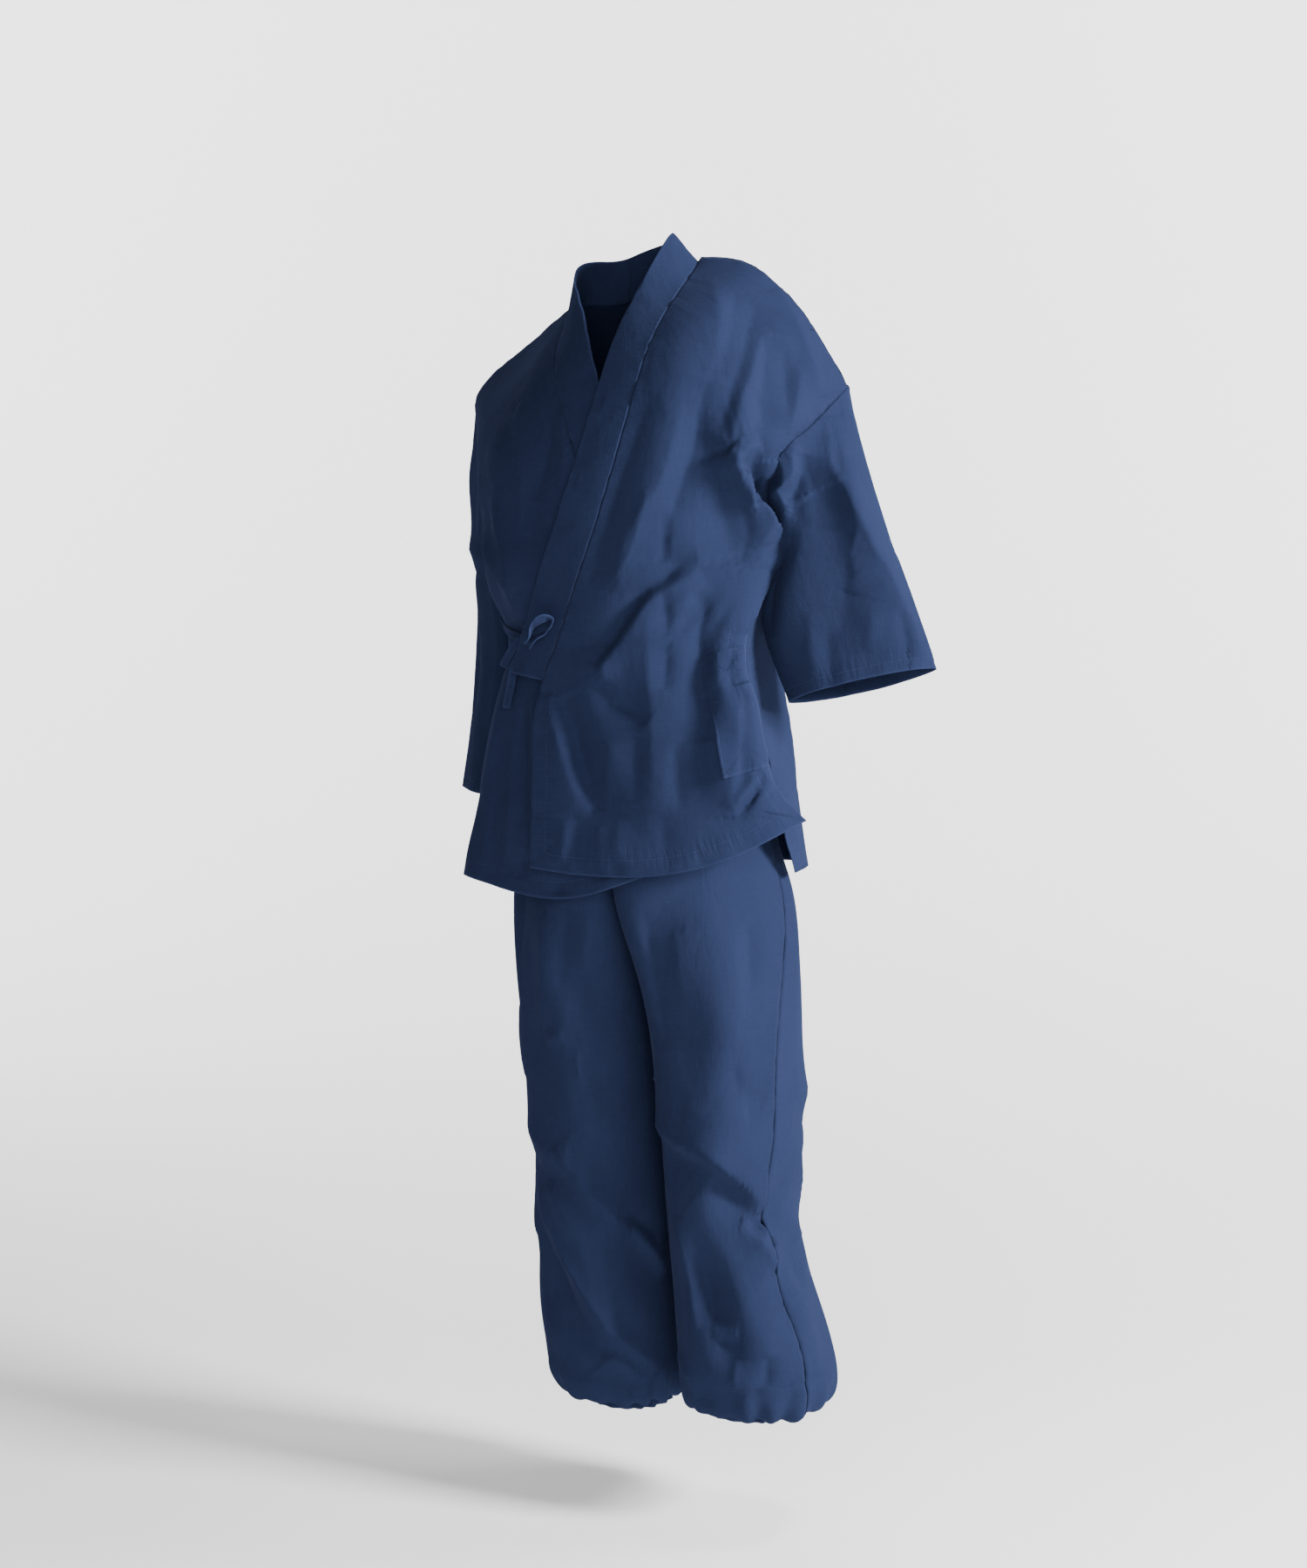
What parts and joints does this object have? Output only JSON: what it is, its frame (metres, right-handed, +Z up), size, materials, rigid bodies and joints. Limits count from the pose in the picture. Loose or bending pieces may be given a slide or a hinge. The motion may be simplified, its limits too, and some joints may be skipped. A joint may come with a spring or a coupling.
{
  "type": "samue",
  "caption": "Cotton work set worn as a hollow form: a wrap-front jacket tied at the side, with open wide sleeves and a patch pocket, over trousers gathered at the ankles.",
  "frame": {"origin": "base of the wearer's neck, midway between the two points where the collar crosses the shoulders", "axes": "+Z up, the wearer faces -Y and the wearer's left is +X"},
  "size_m": [0.6919, 0.3623, 1.426],
  "materials": {
    "left_front": "plain-woven navy cotton",
    "right_front": "plain-woven navy cotton",
    "back": "plain-woven navy cotton",
    "collar": "plain-woven navy cotton",
    "left_sleeve": "plain-woven navy cotton",
    "right_sleeve": "plain-woven navy cotton",
    "pocket": "plain-woven navy cotton",
    "left_tie": "plain-woven navy cotton",
    "right_tie": "plain-woven navy cotton",
    "tie_knot": "plain-woven navy cotton",
    "tie_loop": "plain-woven navy cotton",
    "tie_end_above": "plain-woven navy cotton",
    "tie_end_below": "plain-woven navy cotton",
    "left_leg_front": "plain-woven navy cotton",
    "left_leg_back": "plain-woven navy cotton",
    "right_leg_front": "plain-woven navy cotton",
    "right_leg_back": "plain-woven navy cotton",
    "waistband": "plain-woven navy cotton",
    "left_ankle": "plain-woven navy cotton",
    "right_ankle": "plain-woven navy cotton"
  },
  "bodies": {
    "root": {"left_front": "left_front", "right_front": "right_front", "back": "back", "collar": "collar", "left_sleeve": "left_sleeve", "right_sleeve": "right_sleeve", "pocket": "pocket", "left_tie": "left_tie", "right_tie": "right_tie", "tie_knot": "tie_knot", "tie_loop": "tie_loop", "tie_end_above": "tie_end_above", "tie_end_below": "tie_end_below", "left_leg_front": "left_leg_front", "left_leg_back": "left_leg_back", "right_leg_front": "right_leg_front", "right_leg_back": "right_leg_back", "waistband": "waistband", "left_ankle": "left_ankle", "right_ankle": "right_ankle"}
  },
  "joints": []
}
